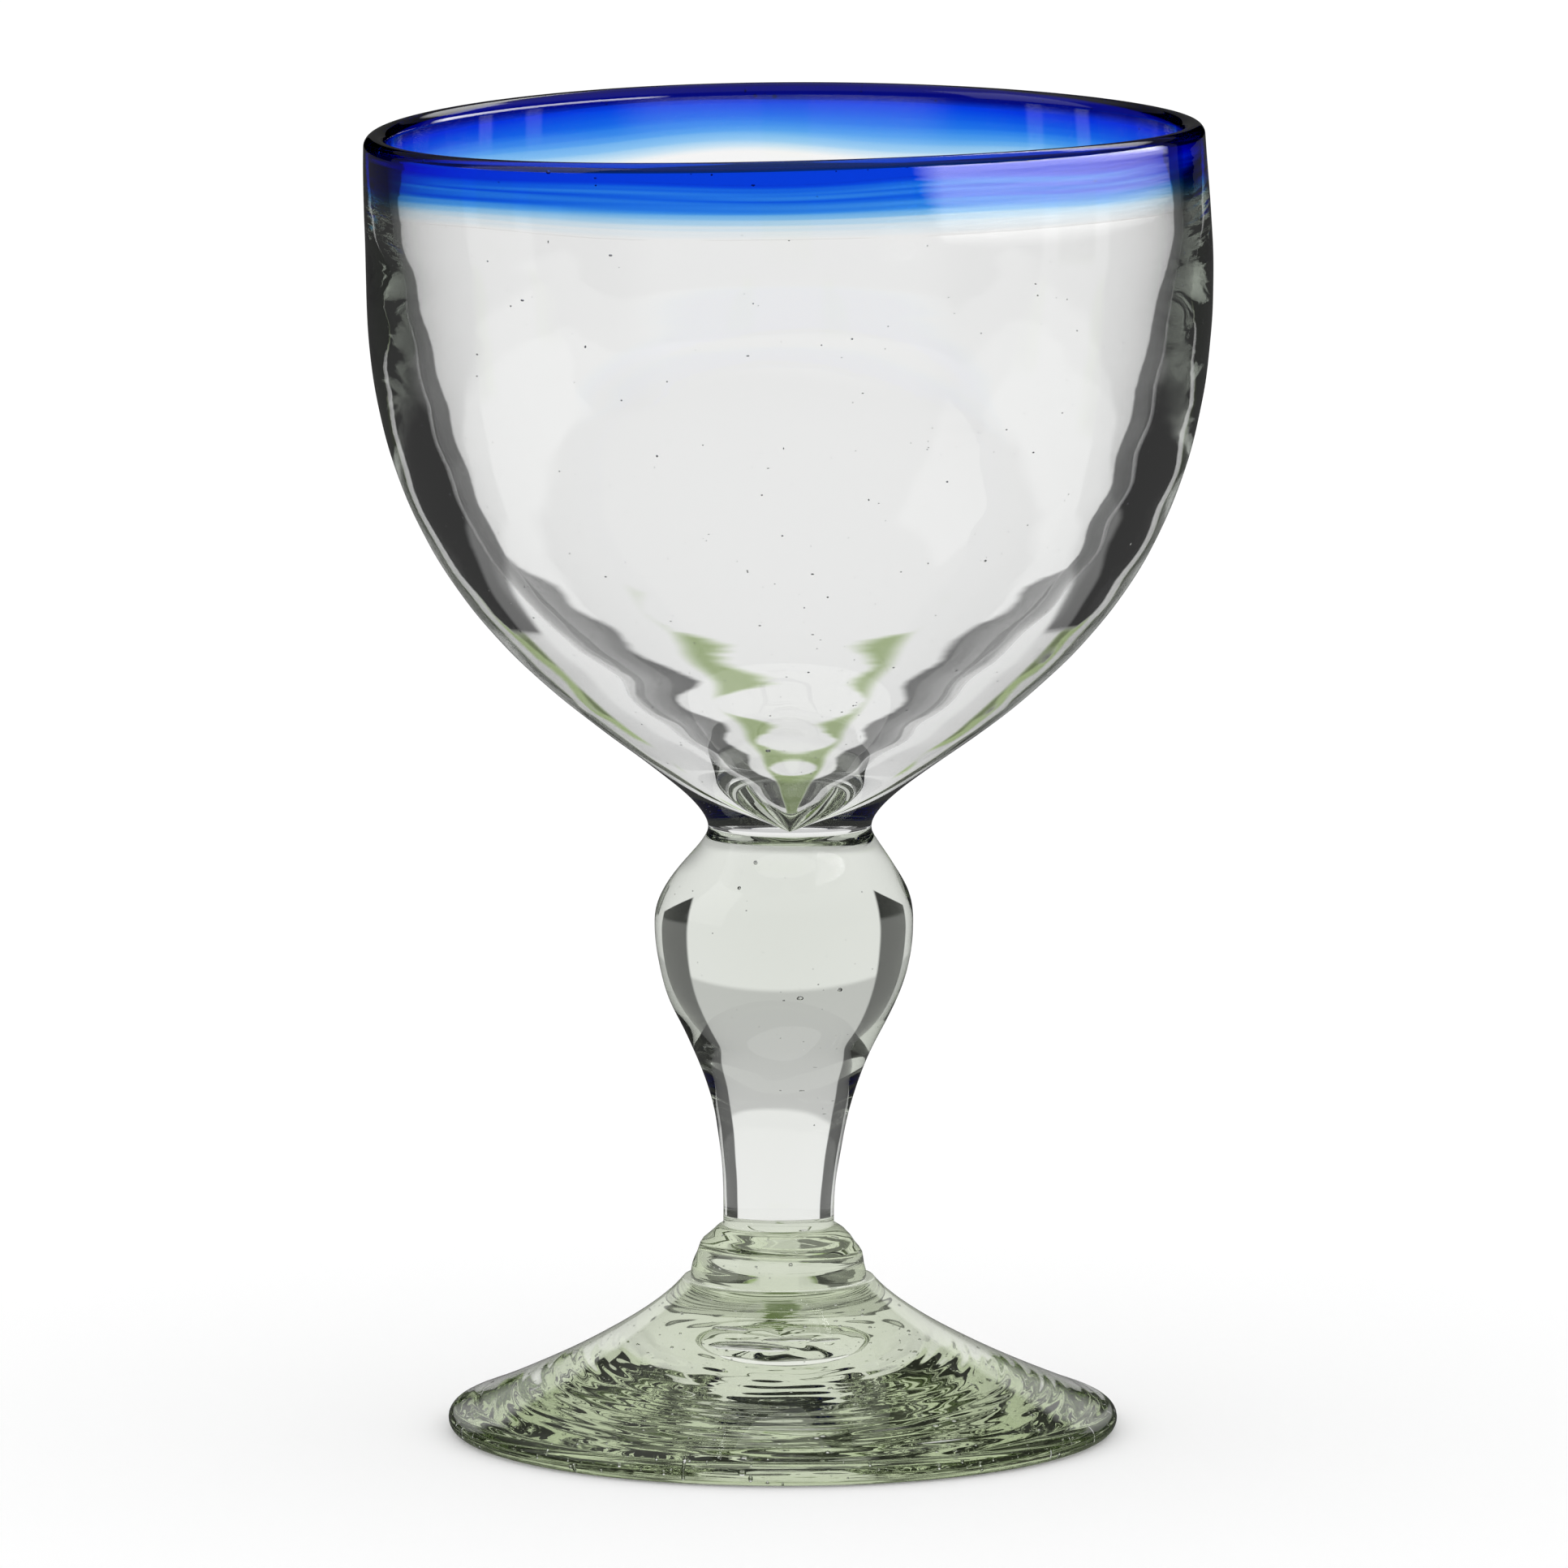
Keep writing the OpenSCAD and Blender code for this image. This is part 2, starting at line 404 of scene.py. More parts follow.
def calm(grid, *rings, reach=2.0 * MM):
    """1 away from the joints, falling to 0 at each ring (radius, height)."""
    away = np.ones(grid.shape[:2])
    for ring in rings:
        away = np.minimum(away, smooth(0, reach, np.linalg.norm(grid - np.asarray(ring), axis=-1)))
    return away * smooth(0, 3 * MM, grid[..., 0])


def seeds(seed, count, depth, size, low=0.0, high=1.0, large=()):
    """A function that scatters small bubbles under a piece's surface, and sets larger ones in its front.

    A larger bubble is given in millimetres: place to the right, height, depth under the surface, radius and
    stretch.
    """
    def scatter(grid, normal):
        rng = np.random.default_rng(seed)
        made = []
        outside = grid[: len(grid) // 2, 0]
        for across, height, under, bubble, stretch in np.asarray(large, float).reshape(-1, 5):
            row = int(np.argmin(np.abs(outside[:, 1] - height * MM)))
            radius = outside[row, 0] - under * MM
            back = -math.sqrt(max(radius ** 2 - (across * MM) ** 2, 0))
            made.append(((across * MM, back, height * MM), bubble * MM, stretch))
        for _ in range(count):
            row = int(rng.uniform(low, high) * (len(grid) - 1))
            column = rng.integers(TURNS)
            under = rng.uniform(*depth)
            radius, height = grid[row, column] - under * normal[row, column]
            bubble = size[0] * (size[1] / size[0]) ** (rng.uniform() ** SMALL_OFTEN)
            stretch = rng.uniform(*DRAWN_OUT)
            if radius > 0.5 * MM:
                angle = ANGLES[column]
                centre = (radius * math.cos(angle), radius * math.sin(angle), height)
                made.append((centre, bubble, stretch))
        return made
    return scatter


# Larger bubbles of the stem and bowl
STEM_BUBBLES = [(-4.3, 76.2, 1.5, 0.3, 1), (-5.9, 72.5, 1.5, 0.25, 1), (6.7, 59.9, 2, 0.28, 1.3),
                (2.0, 59.0, 2, 0.3, 1.5)]
BOWL_BUBBLES = [(-16.7, 133.6, 1.5, 0.16, 1), (44.0, 117.0, 2, 0.25, 1.2), (24.1, 119.1, 2, 0.14, 1.4),
                (-22.1, 158.5, 1.5, 0.13, 2.0), (-33.4, 152.5, 1.5, 0.13, 2.2), (-3.2, 93.1, 3, 0.3, 1.1),
                (49.1, 150.9, 1.8, 0.16, 1.5)]

# Air drawn out flat in the foot under the collar: place, radius in millimetres and stretch
FOOT_AIR = [(-3.8, -15.0, 11.8, 0.9, 5.8), (1.0, -16.0, 13.6, 0.35, 9), (-6.0, -13.0, 14.4, 0.3, 8),
            (5.5, -14.0, 12.6, 0.3, 7)]


# Materials

WHITE = (1, 1, 1, 1)
# Cords that are drawn out in the glass: share of the bump, its height and the detail of its noise
CORD_SHARE, CORD_HEIGHT, CORD_DETAIL = 0.25, 0.02 * MM, 2.0


class Graph:
    """Short calls that add nodes to a node tree. A value is a number, a colour or a socket."""

    def __init__(self, tree):
        self.tree = tree

    def node(self, kind, **values):
        made = self.tree.nodes.new(kind)
        for name, value in values.items():
            setattr(made, name, value)
        return made

    def put(self, socket, value):
        if isinstance(value, bpy.types.NodeSocket):
            self.tree.links.new(value, socket)
        else:
            socket.default_value = value

    def fill(self, node, values):
        """Puts values into a node's sockets by name, and gives the node back."""
        for name, value in values.items():
            self.put(node.inputs[name], value)
        return node

    def maths(self, operation, *values):
        made = self.node("ShaderNodeMath", operation=operation)
        for socket, value in zip(made.inputs, values):
            self.put(socket, value)
        return made.outputs[0]

    def times(self, first, second):
        """The product of two values."""
        return self.maths("MULTIPLY", first, second)

    def step(self, value, low, high):
        """A soft step from 0 at low to 1 at high."""
        made = self.node("ShaderNodeMapRange", interpolation_type="SMOOTHSTEP")
        return self.fill(made, {"Value": value, "From Min": low, "From Max": high}).outputs["Result"]

    def between(self, value, low, high, soft):
        """1 between two limits and 0 outside, with soft edges."""
        rising = self.step(value, low - soft, low + soft)
        return self.times(rising, self.step(value, high + soft, high - soft))

    def mix(self, share, first, second, kind="FLOAT", places=(0, 2, 3), result=0):
        """The number first at share 0 and second at share 1."""
        made = self.node("ShaderNodeMix", data_type=kind)
        for place, value in zip(places, (share, first, second)):
            self.put(made.inputs[place], value)
        return made.outputs[result]

    def blend(self, share, first, second):
        """The colour first at share 0 and second at share 1."""
        return self.mix(share, first, second, "RGBA", (0, 6, 7), 2)


def glass(name, bend, passes, depth, cords, back_shade_colour=None):
    """Clear solid glass that takes its colour by thickness, with faint cords and no surface at the joints."""
    material = bpy.data.materials.new(name)
    material.use_nodes = True
    graph = Graph(material.node_tree)
    shader = material.node_tree.nodes["Principled BSDF"]
    base = WHITE
    # Painted shade: a colour that darkens the glass where the piece marks it
    if back_shade_colour:
        back_shade = graph.node("ShaderNodeAttribute", attribute_name="back_shade")
        base = graph.blend(back_shade.outputs["Fac"], WHITE, (*back_shade_colour, 1))
    joint = graph.node("ShaderNodeAttribute", attribute_name="weld")
    place = graph.node("ShaderNodeTexCoord").outputs["Object"]
    drawn = graph.fill(graph.node("ShaderNodeMapping"), {"Vector": place, "Scale": cords}).outputs["Vector"]
    streak = graph.fill(graph.node("ShaderNodeTexNoise"), {"Vector": drawn, "Scale": 1.0,
                                                           "Detail": CORD_DETAIL})
    bump = graph.fill(graph.node("ShaderNodeBump"), {"Strength": CORD_SHARE, "Distance": CORD_HEIGHT,
                                                     "Height": streak.outputs["Fac"]})
    graph.fill(shader, {"Base Color": base, "Roughness": 0.0, "Transmission Weight": 1.0, "IOR": bend,
                        "Alpha": graph.maths("SUBTRACT", 1.0, joint.outputs["Fac"]),
                        "Normal": bump.outputs["Normal"]})
    tint = graph.fill(graph.node("ShaderNodeVolumeAbsorption"), {"Color": (*passes, 1), "Density": depth})
    graph.put(material.node_tree.nodes["Material Output"].inputs["Volume"], tint.outputs["Volume"])
    return material


def finish_piece(piece, node, material):
    """Dresses a piece and lets it stand for its CAD node."""
    piece.data.materials.append(material)
    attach(piece, ROOT)
    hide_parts(node)


# The pieces

# Ripples of the foot: size on the underside and on the cone, and strength of the swirls against the rings
RIPPLE_UNDER, RIPPLE_CONE, SWIRL_SHARE = 0.018 * MM, 0.002 * MM, 3
# Step of the rows in the hollow underside, and the reach along the section that it ends within
HOLLOW_STEP, HOLLOW_REACH = 0.25 * MM, 0.05


class GOBLET_OT_foot(bpy.types.Operator):
    """Makes the conical foot of green glass with its hollow underside"""

    bl_idname = "goblet.foot"
    bl_label = "Foot"

    def execute(self, context):
        s, g = context.scene.goblet_sizes, context.scene.goblet_glass
        edge = s.foot_edge / 2
        centre = point(s.foot_r - edge, edge)
        turn_up = math.pi / 2 - s.foot_edge_slope
        cone_low = centre + edge * along(turn_up)
        cone_high = point(s.foot_top_r, s.collar_z)
        ring_in = point(s.foot_r - edge - s.foot_ring_w, 0)
        pontil_top = s.hollow_h + s.pontil_d
        weld_z = s.collar_z - s.weld_gap / 2
        part = Section(point(0, pontil_top))
        part.add(curve(point(0, pontil_top), point(s.pontil_r / 2, pontil_top),
                       point(s.pontil_r, pontil_top - s.pontil_d / 2), point(s.pontil_r, s.hollow_h)))
        part.add(curve(point(s.pontil_r, s.hollow_h), point(s.pontil_r + s.hollow_straight, s.hollow_h),
                       ring_in - s.hollow_straight * along(-s.hollow_slope), ring_in, step=HOLLOW_STEP))
        part.add(line(ring_in, point(s.foot_r - edge, 0)))
        part.add(arc(centre, edge, -math.pi / 2, turn_up))
        part.add(curve(cone_low, cone_low - s.cone_straight * along(-s.foot_edge_slope),
                       cone_high + s.cone_straight * along(-s.foot_top_slope), cone_high))
        part.add(line(cone_high, point(s.collar_r, weld_z)))
        part.add(line(point(s.collar_r, weld_z), point(0, weld_z)), weld=True)
        rings = Waves(11, 44, 12, (1.6 * MM, 7 * MM), power=0.3)
        swirl = Waves(12, 24, 9, (6 * MM, 30 * MM), power=0.4)

        def ripple(grid, reach, angle):
            radius, height = grid[..., 0], grid[..., 1]
            rest = smooth(0.2 * MM, 1.2 * MM, height) * calm(grid, (s.collar_r, weld_z))
            under = (radius < s.foot_r - edge) & (reach < HOLLOW_REACH)
            size = np.where(under, RIPPLE_UNDER, RIPPLE_CONE)
            return rest * size * (rings(angle, radius) + SWIRL_SHARE * swirl(angle, radius))

        scatter = seeds(13, 620, (0.5 * MM, 2.4 * MM), (0.05 * MM, 0.3 * MM), 0.58, 0.9)

        def air(grid, normal):
            drawn = [((x * MM, y * MM, z * MM), size * MM, stretch) for x, y, z, size, stretch in FOOT_AIR]
            return drawn + scatter(grid, normal)

        piece = turned_piece("foot_cone", part, s, ripple, air)
        finish_piece(piece, "foot",
                     glass("green foot glass", g.bend, g.green_pass, g.green_depth, (90, 90, 700)))
        return {"FINISHED"}


# The collar's thread: rise from groove to groove, climb in one turn, the groove's width as a share of that
# rise, its depth, and the thread's unevenness
THREAD_RISE, THREAD_CLIMB, GROOVE_W, GROOVE_D, THREAD_WAVE = 2.3 * MM, 0.5, 0.09, 0.10 * MM, 0.06 * MM
# The collar is paler than the foot by this share
COLLAR_PALE = 0.6


class GOBLET_OT_collar(bpy.types.Operator):
    """Makes the wound collar of green glass between foot and stem"""

    bl_idname = "goblet.collar"
    bl_label = "Collar"

    def execute(self, context):
        s, g = context.scene.goblet_sizes, context.scene.goblet_glass
        low_z, high_z = s.collar_z + s.weld_gap / 2, s.stem_z - s.weld_gap / 2
        low, high = point(s.collar_r, low_z), point(s.stem_r, high_z)
        part = Section(point(0, low_z))
        part.add(line(point(0, low_z), low), weld=True)
        part.add(curve(low, low + point(0, s.collar_side), high + point(s.collar_shoulder, 0), high))
        part.add(line(high, point(0, high_z)), weld=True)
        thread = Waves(21, 8, 3, (2 * MM, 5 * MM), power=0.5)

        def ripple(grid, reach, angle):
            height = grid[..., 1] - low_z
            turn = np.mod(height / THREAD_RISE + angle / (2 * math.pi) * THREAD_CLIMB, 1.0)
            groove = -np.exp(-((turn - 0.5) / GROOVE_W) ** 2)
            wound = GROOVE_D * groove + THREAD_WAVE * thread(angle, height)
            return calm(grid, low, high, reach=1.2 * MM) * wound

        piece = turned_piece("collar_ring", part, s, ripple,
                             seeds(23, 60, (0.6 * MM, 5 * MM), (0.05 * MM, 0.2 * MM), 0.45, 0.75))
        finish_piece(piece, "collar",
                     glass("green collar glass", g.bend, g.green_pass, g.green_depth * COLLAR_PALE,
                           (60, 60, 900)))
        return {"FINISHED"}


# Size of the tool marks on the stem
STEM_RIPPLE = 0.05 * MM


class GOBLET_OT_stem(bpy.types.Operator):
    """Makes the solid baluster stem with its knop"""

    bl_idname = "goblet.stem"
    bl_label = "Stem"

    def execute(self, context):
        s, g = context.scene.goblet_sizes, context.scene.goblet_glass
        low_z, high_z = s.stem_z + s.weld_gap / 2, s.neck_z - s.weld_gap / 2
        low, neck = point(s.stem_r, low_z), point(s.neck_r, high_z)
        knop = point(s.knop_r, s.neck_z - s.knop_drop)
        part = Section(point(0, low_z))
        part.add(line(point(0, low_z), low), weld=True)
        part.add(curve(low, low + point(0, s.stem_straight), knop - point(0, s.knop_low), knop))
        part.add(curve(knop, knop + point(0, s.knop_high), neck - point(0, s.neck_low), neck))
        part.add(line(neck, point(0, high_z)), weld=True)
        tool = Waves(31, 16, 4, (6 * MM, 25 * MM))

        def ripple(grid, reach, angle):
            return calm(grid, low, neck) * STEM_RIPPLE * tool(angle, reach)

        bubbles = seeds(37, 90, (0.5 * MM, 3 * MM), (0.04 * MM, 0.1 * MM), 0.2, 0.8, STEM_BUBBLES)
        piece = turned_piece("stem_baluster", part, s, ripple, bubbles)
        finish_piece(piece, "stem",
                     glass("stem glass", g.bend, g.stem_pass, g.stem_depth, (60, 60, 300)))
        return {"FINISHED"}


def side_radii(s, z):
    """Outside and inside radius of the bowl's upper side at a height."""
    lip_z, belly_z = s.rim_z - s.lip_t / 2, s.rim_z - s.belly_drop
    up = (z - belly_z) / (lip_z - belly_z)
    outside = s.belly_r - (s.belly_r - s.rim_r) * up ** 2
    return outside, outside - s.lip_t - (s.wall - s.lip_t) * (1 - up) ** 2


def side_rows(s, start, end, steps, face):
    """Rows of the bowl's upper side from height to height, on its outside (face 0) or inside (face 1)."""
    heights = [start + (end - start) * t for t in np.arange(1, steps + 1) / steps]
    return [point(side_radii(s, z)[face], z) for z in heights]


# The scarf: how far its edges wander outside and inside, how wavy and how streaked it is, its rows, and the
# height that its streaks are drawn out over
WANDER_OUT, WANDER_IN, SCARF_WAVE, STREAKED, SCARF_ROWS = 0.45 * MM, 0.3 * MM, 0.1 * MM, 0.14, 56
STREAK_HEIGHT = 7 * MM
# How far the scarf has come through the wall at the front, by its share of the way up
LEDGE_UP, LEDGE_IN = [0, 0.19, 0.33, 0.47, 0.61, 0.93], [0, 0.035, 0.1, 0.33, 0.6, 0.62]
# Behind, it comes through by this power of the way up. Nowhere is it under the least share
BACK_POWER, LEAST_SHARE = 1.3, 0.012


class Scarf:
    """The slanting joint of cobalt wrap and bowl, which wanders up and down round the mouth."""

    def __init__(self, s):
        wander = Waves(41, 10, 9, (1, 2), power=0.7)
        self.sizes = s
        self.out_z = s.rim_z - s.wrap_out + WANDER_OUT * wander(ANGLES, 0)
        self.in_z = s.rim_z - s.wrap_in + WANDER_IN * wander(ANGLES + 2, 0)
        self.streaks = Waves(42, 40, 5, (0.6 * MM, 2.4 * MM), power=0.3)

    def rows(self, shift):
        """Points of the joint from outside to inside, shifted up by a gap."""
        s = self.sizes
        start = point(side_radii(s, self.out_z)[0], self.out_z + shift)
        end = point(side_radii(s, self.in_z)[1], self.in_z + shift)
        made = []
        front = smooth(-0.7, 0.5, -np.sin(ANGLES))
        steps = np.linspace(-0.2, 1.2, 141)
        ledge = np.interp(steps, LEDGE_UP, LEDGE_IN)
        ledge = np.convolve(ledge, np.hanning(17) / np.hanning(17).sum(), mode="same")
        across = end - start
        for t in np.linspace(0, 1, SCARF_ROWS):
            wave = SCARF_WAVE * math.sin(math.pi * t) * self.streaks(ANGLES, t * STREAK_HEIGHT)
            streaky = 1 + STREAKED * front * self.streaks(ANGLES + 1, t * STREAK_HEIGHT)
            share = front * np.interp(t, steps, ledge) + (1 - front) * t ** BACK_POWER
            share = share * np.clip(streaky, 0.5, 1.6)
            share = share + (1 - share) * smooth(0.9, 1, t)
            share = np.clip(share, min(0.2 * t, LEAST_SHARE), 1)
            height = start[..., 1] + across[..., 1] * t + wave
            made.append(point(start[..., 0] + across[..., 0] * share, height))
        return made


# Ripples of the bowl: size of its broad waves and fine cords, and the heights between which the cords lie
BROAD_RIPPLE, CORD_RIPPLE = 0.012 * MM, 0.003 * MM
CORDS_LOW, CORDS_HIGH = (124 * MM, 136 * MM), (148 * MM, 156 * MM)
# Step of the rows on the bowl's side
BELLY_STEP = 0.42 * MM


class GOBLET_OT_bowl(bpy.types.Operator):
    """Makes the blown bowl of clear glass with its pointed inside"""

    bl_idname = "goblet.bowl"
    bl_label = "Bowl"

    def execute(self, context):
        s, g = context.scene.goblet_sizes, context.scene.goblet_glass
        low_z = s.neck_z + s.weld_gap / 2
        belly_z = s.rim_z - s.belly_drop
        neck, belly = point(s.neck_r, low_z), point(s.belly_r, belly_z)
        under, way = point(s.under_r, s.neck_z + s.under_h), along(s.under_slope)
        inside = under + s.under_wall * along(s.under_slope + math.pi / 2)
        inside_belly = point(s.belly_r - s.wall, belly_z)
        tip = point(0, s.neck_z + s.point_h)
        joint = Scarf(s).rows(-s.weld_gap / 2)
        part = Section(point(0, low_z))
        part.add(line(point(0, low_z), neck), weld=True)
        part.add(curve(neck, neck + point(0, s.neck_high), under - s.under_in * way, under))
        part.add(curve(under, under + s.under_out * way, belly - point(0, s.belly_low), belly,
                       step=BELLY_STEP))
        part.add(side_rows(s, belly_z, joint[0][..., 1], 20, 0))
        part.add(joint[1:], weld=True)
        part.add(side_rows(s, joint[-1][..., 1], belly_z, 28, 1))
        draw = point(2 * (s.wall - s.lip_t) / (s.belly_drop - s.lip_t / 2), 1)
        part.add(curve(inside_belly, inside_belly - s.belly_low * draw, inside + s.under_out * way, inside))
        part.add(curve(inside, inside - s.funnel_len * way, tip + s.point_len * along(s.point_slope), tip))
        broad = Waves(43, 24, 6, (8 * MM, 40 * MM))
        fine = Waves(44, 60, 10, (0.9 * MM, 3 * MM), power=0.3)

        def ripple(grid, reach, angle):
            height = grid[..., 1]
            still = calm(grid, neck) * (1 - smooth(-8 * MM, -4 * MM, height - s.rim_z + s.wrap_in))
            corded = smooth(*CORDS_LOW, height) * (1 - smooth(*CORDS_HIGH, height))
            corded = corded * smooth(0.0, 1.6, broad(angle + 1, 0.7 * reach))
            return still * (BROAD_RIPPLE * broad(angle, reach) + CORD_RIPPLE * corded * fine(angle, reach))

        bubbles = seeds(45, 420, (0.5 * MM, 2.5 * MM), (0.04 * MM, 0.13 * MM), 0.06, 0.5, BOWL_BUBBLES)
        piece = turned_piece("bowl_shell", part, s, ripple, bubbles)
        finish_piece(piece, "bowl",
                     glass("clear bowl glass", g.bend, g.clear_pass, g.clear_depth, (40, 40, 400)))
        return {"FINISHED"}


class GOBLET_OT_lip_wrap(bpy.types.Operator):
    """Makes the cobalt wrap that is melted round the mouth"""

    bl_idname = "goblet.lip_wrap"
    bl_label = "Lip wrap"

    def execute(self, context):
        s, g = context.scene.goblet_sizes, context.scene.goblet_glass
        lip_z = s.rim_z - s.lip_t / 2
        joint = Scarf(s).rows(s.weld_gap / 2)
        part = Section(joint[0])
        part.add(side_rows(s, joint[0][..., 1], lip_z, 12, 0))
        part.add(arc(point(s.rim_r - s.lip_t / 2, lip_z), s.lip_t / 2, 0, math.pi, 20))
        part.add(side_rows(s, lip_z, joint[-1][..., 1], 8, 1))
        part.add(joint[-2:0:-1], weld=True)
        part.weld.append(True)

        def ripple(grid, reach, angle):
            return np.zeros(grid.shape[:2])

        bubbles = seeds(46, 60, (0.7 * MM, 2.4 * MM), (0.05 * MM, 0.25 * MM), 0.1, 0.3)
        piece = turned_piece("lip_band", part, s, ripple, bubbles, closed=True)
        # Painted shade: the top of the lip is coloured darker at the back and the sides, where it stands in
        # for shade
        height = part.grid()[..., 1]
        back_shade_mask = smooth(-3.0 * MM, -1.6 * MM, height - s.rim_z) * smooth(-0.5, 0.0, np.sin(ANGLES))
        back_shade = np.zeros(len(piece.data.vertices))
        back_shade[:back_shade_mask.size] = back_shade_mask.ravel()
        piece.data.attributes.new("back_shade", "FLOAT", "POINT").data.foreach_set("value", back_shade)
        finish_piece(piece, "lip_wrap",
                     glass("cobalt glass", g.bend, g.cobalt_pass, g.cobalt_depth, (60, 60, 900),
                           g.back_shade_pass))
        return {"FINISHED"}


# The stage: camera, table and the white studio that the glass sees

# Black flags that solid glass sees: middle and half width in degrees to the right of straight behind, then
# lowest and highest elevation
SOLID_FLAGS = [(-139, 11, -10, 40), (86, 11, -26, -10), (-176, 11, -26, -10)]
# Soft boxes that show as gloss: the same, then brightness and softness of their edges
SOFT_BOXES = [(-100, 22, 8, 55, 1.2, 2)]
# Two pointed flags beside the paper: first and last azimuth, highest elevation, slope and start of the slant
FLAG_FIRST, FLAG_LAST, FLAG_TOP, FLAG_SLOPE, FLAG_START = 37.0, 63.0, 40.0, 3.2, 107.4
# Curved cards: the pieces that show them, first and last azimuth, lowest and highest elevation, brightness
CARDS = {
    "card_left": (("foot_cone",), -46, -9, 3, 26, 0.9),
    "card_right": (("foot_cone",), 9, 46, 3, 26, 0.9),
    "card_high": (("lip_band",), 8, 60, 33, 53, 4.0),
    "soft_box": (("lip_band", "bowl_shell"), 52, 146, 4, 23, 12.0),
}
CARD_COLUMNS, CARD_ROWS = 12, 8
# What the thin bowl sees: half width of the white card, and the step from card to card, in degrees
CARD_HALF, CARD_STEP = 12.0, 45.0
# Ray depth at the studio of light that went through one solid piece, and through the bowl's two walls
SOLID_DEPTH, BOWL_DEPTH = 3, 5
# Brightness round a solid piece: paper, room, flags, and the pointed flags low down and higher up
PAPER, ROOM, FLAG, POINTED_LOW, POINTED_HIGH = 0.96, 0.66, 0.045, 0.015, 0.15
# Through the bowl's walls: the card and its top, the grey beside it, and the steep view down
CARD, CARD_TOP, BESIDE_CARD, STEEP = 0.93, 0.7, 0.22, 0.7
# Through the bowl's thick bottom: beside the painted foot, and the painted foot's lighter and darker end
BESIDE_FOOT, FOOT_LIGHT, FOOT_DARK = 0.09, 0.5, 0.28
# Mirrored once inside a wall: sheet, dark sides and their lower end, the painted foot's outline, its wedge's
# two ends and the room in front
SHEET, SIDES, SIDES_LOW, OUTLINE, WEDGE_IN, WEDGE_OUT, FRONT = 0.88, 0.035, 0.2, 0.06, 0.7, 0.3, 0.9
# Mirrored more often
DEEP_LIGHT, DEEP_DARK = 0.95, 0.04
# Gloss, from the dim room to its ceiling
DIM_ROOM, CEILING = 0.05, 0.3
# The light on the table, and the background
TABLE_LIGHT, BACKGROUND = 1.05, 1.0
# Green of the goblet's own foot, painted into the studio where the bowl's glass would show the foot
PAINTED_FOOT_GREEN = (0.72, 0.9, 0.45, 1)


